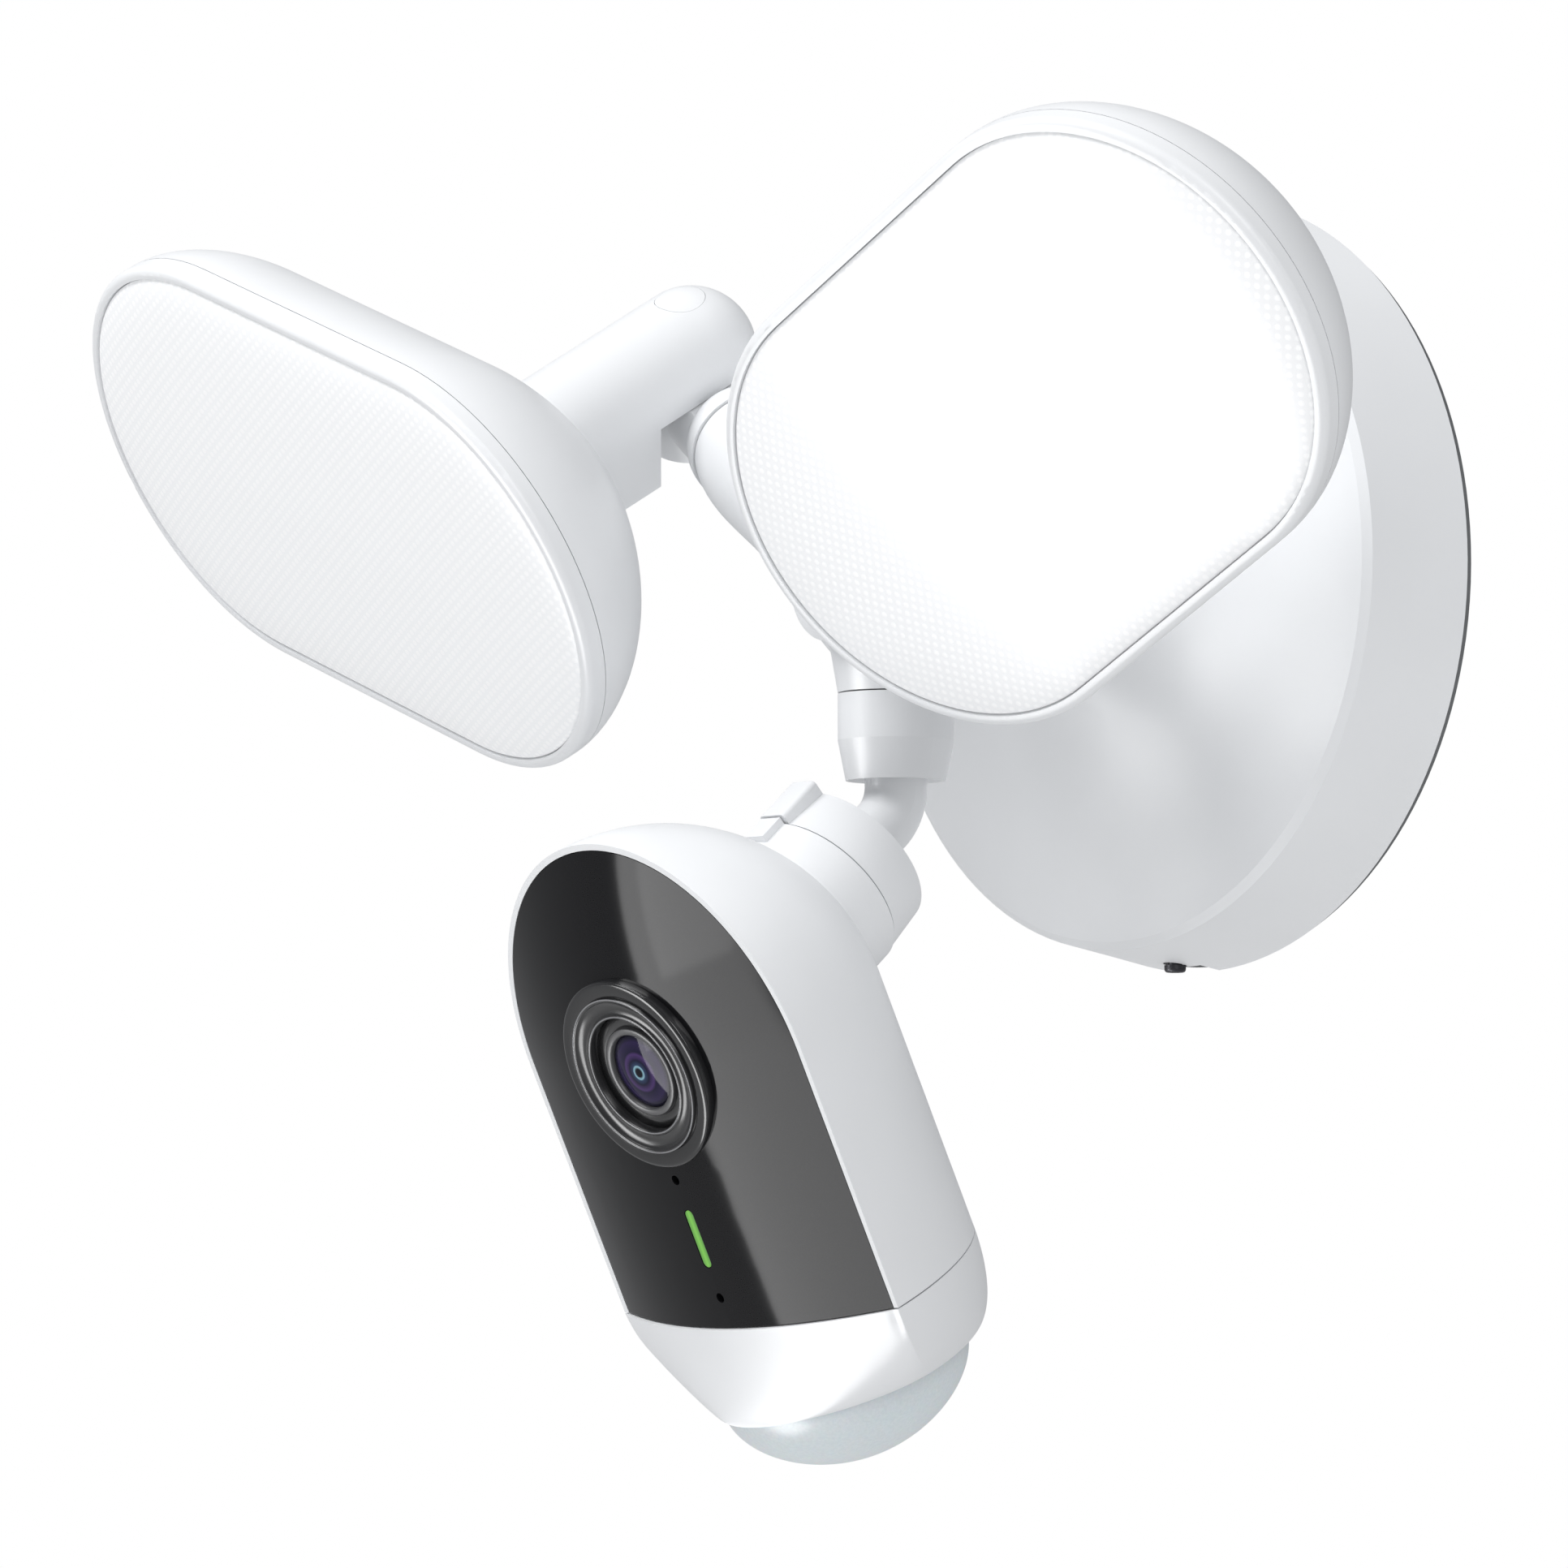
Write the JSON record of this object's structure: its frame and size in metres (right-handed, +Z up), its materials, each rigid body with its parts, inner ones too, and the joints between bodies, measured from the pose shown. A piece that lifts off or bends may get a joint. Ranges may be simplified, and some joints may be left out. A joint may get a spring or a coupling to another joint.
{
  "type": "floodlight security camera",
  "caption": "Wall floodlight with a round base, two jointed oval lamp heads on a hub, and a tilting camera with a motion sensor dome below.",
  "frame": {"origin": "centre of the base's back face, on the wall plane", "axes": "+Z up, +Y into the wall, -Y out into the room or yard, +X to the right seen from the front"},
  "size_m": [0.3136, 0.1477, 0.2222],
  "materials": {
    "white_plastic": "satin moulded white",
    "lamp_diffuser": "translucent white with a fine prism grid",
    "grey_rubber": "matt",
    "black_rubber": "matt",
    "white_circuit_board": "solder mask",
    "green_circuit_board": "solder mask",
    "led_chip": "phosphor",
    "bare_aluminium": "bead blasted",
    "screw_steel": "plated",
    "zinc_steel": "zinc plated sheet",
    "nylon": "natural",
    "component_black": "moulded",
    "black_glass": "high gloss black",
    "black_trim": "satin black",
    "lens_glass": "coated lens",
    "status_green": "lit light pipe",
    "dome_plastic": "translucent white"
  },
  "bodies": {
    "base": {"mounting_bracket": "zinc_steel", "wall_gasket": "grey_rubber", "back_cover": "white_plastic", "back_cover_screws": "screw_steel", "base_housing": "white_plastic", "lock_screw": "screw_steel", "driver_board": "green_circuit_board", "driver_parts": "component_black", "terminal_block": "component_black", "hub_housing": "white_plastic", "hub_cap": "white_plastic", "post_collar": "white_plastic", "stem_bush": "nylon"},
    "right_arm": {"right_arm_stem": "white_plastic", "right_stem_nut": "nylon"},
    "right_lamp": {"right_lamp_shell": "white_plastic", "right_lamp_bezel": "white_plastic", "right_lamp_lens": "lamp_diffuser", "right_lamp_seal": "grey_rubber", "right_led_board": "white_circuit_board", "right_led_chips": "led_chip", "right_heat_spreader": "bare_aluminium", "right_lamp_screws": "screw_steel", "right_hinge_screw": "screw_steel", "right_hinge_plug": "white_plastic", "right_hinge_washer": "nylon"},
    "left_arm": {"left_arm_stem": "white_plastic", "left_stem_nut": "nylon"},
    "left_lamp": {"left_lamp_shell": "white_plastic", "left_lamp_bezel": "white_plastic", "left_lamp_lens": "lamp_diffuser", "left_lamp_seal": "grey_rubber", "left_led_board": "white_circuit_board", "left_led_chips": "led_chip", "left_heat_spreader": "bare_aluminium", "left_lamp_screws": "screw_steel", "left_hinge_screw": "screw_steel", "left_hinge_plug": "white_plastic", "left_hinge_washer": "nylon"},
    "stem": {"camera_stem": "white_plastic"},
    "cup": {"ball_cup": "nylon"},
    "camera": {"camera_shell": "white_plastic", "front_panel": "black_glass", "panel_seal": "black_rubber", "lens_ring": "black_trim", "lens_barrel": "black_trim", "lens_glass": "lens_glass", "sensor_board": "green_circuit_board", "main_board": "green_circuit_board", "status_light": "status_green", "microphones": "component_black", "speaker": "component_black", "chin_cap": "white_plastic", "pir_dome": "dome_plastic", "pir_sensor": "zinc_steel", "camera_screws": "screw_steel"},
    "ring": {"lock_ring": "white_plastic"},
    "flap": {"card_cover": "grey_rubber"},
    "button": {"reset_button": "component_black"}
  },
  "joints": [
    {"name": "right_arm_swivel", "type": "hinge", "parent": "base", "child": "right_arm", "pos_m": [0.05385, -0.0607, 0.02533], "axis": [-0.8346, -0.1735, -0.5229], "range_deg": [-20, 20]},
    {"name": "right_lamp_hinge", "type": "hinge", "parent": "right_arm", "child": "right_lamp", "pos_m": [0.06849, -0.06176, 0.04344], "axis": [-0.3672, -0.5324, 0.7627], "range_deg": [0, 40]},
    {"name": "left_arm_swivel", "type": "hinge", "parent": "base", "child": "left_arm", "pos_m": [-0.05385, -0.0607, 0.02533], "axis": [-0.8346, 0.1735, 0.5229], "range_deg": [-20, 20]},
    {"name": "left_lamp_hinge", "type": "hinge", "parent": "left_arm", "child": "left_lamp", "pos_m": [-0.06849, -0.06176, 0.04344], "axis": [-0.3672, 0.5324, -0.7627], "range_deg": [0, 40]},
    {"name": "camera_pan", "type": "hinge", "parent": "base", "child": "stem", "pos_m": [0, -0.0719, -0.0224], "axis": [0, 0, 1], "range_deg": [-45, 45]},
    {"name": "camera_tilt", "type": "hinge", "parent": "stem", "child": "cup", "pos_m": [0, -0.0883, -0.0571], "axis": [1, 0, 0], "range_deg": [-15, 15]},
    {"name": "camera_turn", "type": "hinge", "parent": "cup", "child": "camera", "pos_m": [0, -0.0883, -0.0571], "axis": [0, -0.749, -0.6626], "range_deg": [-90, 90]},
    {"name": "lock_ring_turn", "type": "hinge", "parent": "camera", "child": "ring", "pos_m": [0, -0.0883, -0.0571], "axis": [0, -0.749, -0.6626], "range_deg": [0, 300]},
    {"name": "card_cover_hinge", "type": "hinge", "parent": "camera", "child": "flap", "pos_m": [0, -0.07705, -0.08869], "axis": [1, 0, 0], "range_deg": [0, 33]},
    {"name": "reset_button_press", "type": "slide", "parent": "camera", "child": "button", "axis": [0, -0.8973, -0.4415], "range_m": [0, 0.0008], "stiffness_N_per_m": 300, "springref_m": -0.0005}
  ]
}
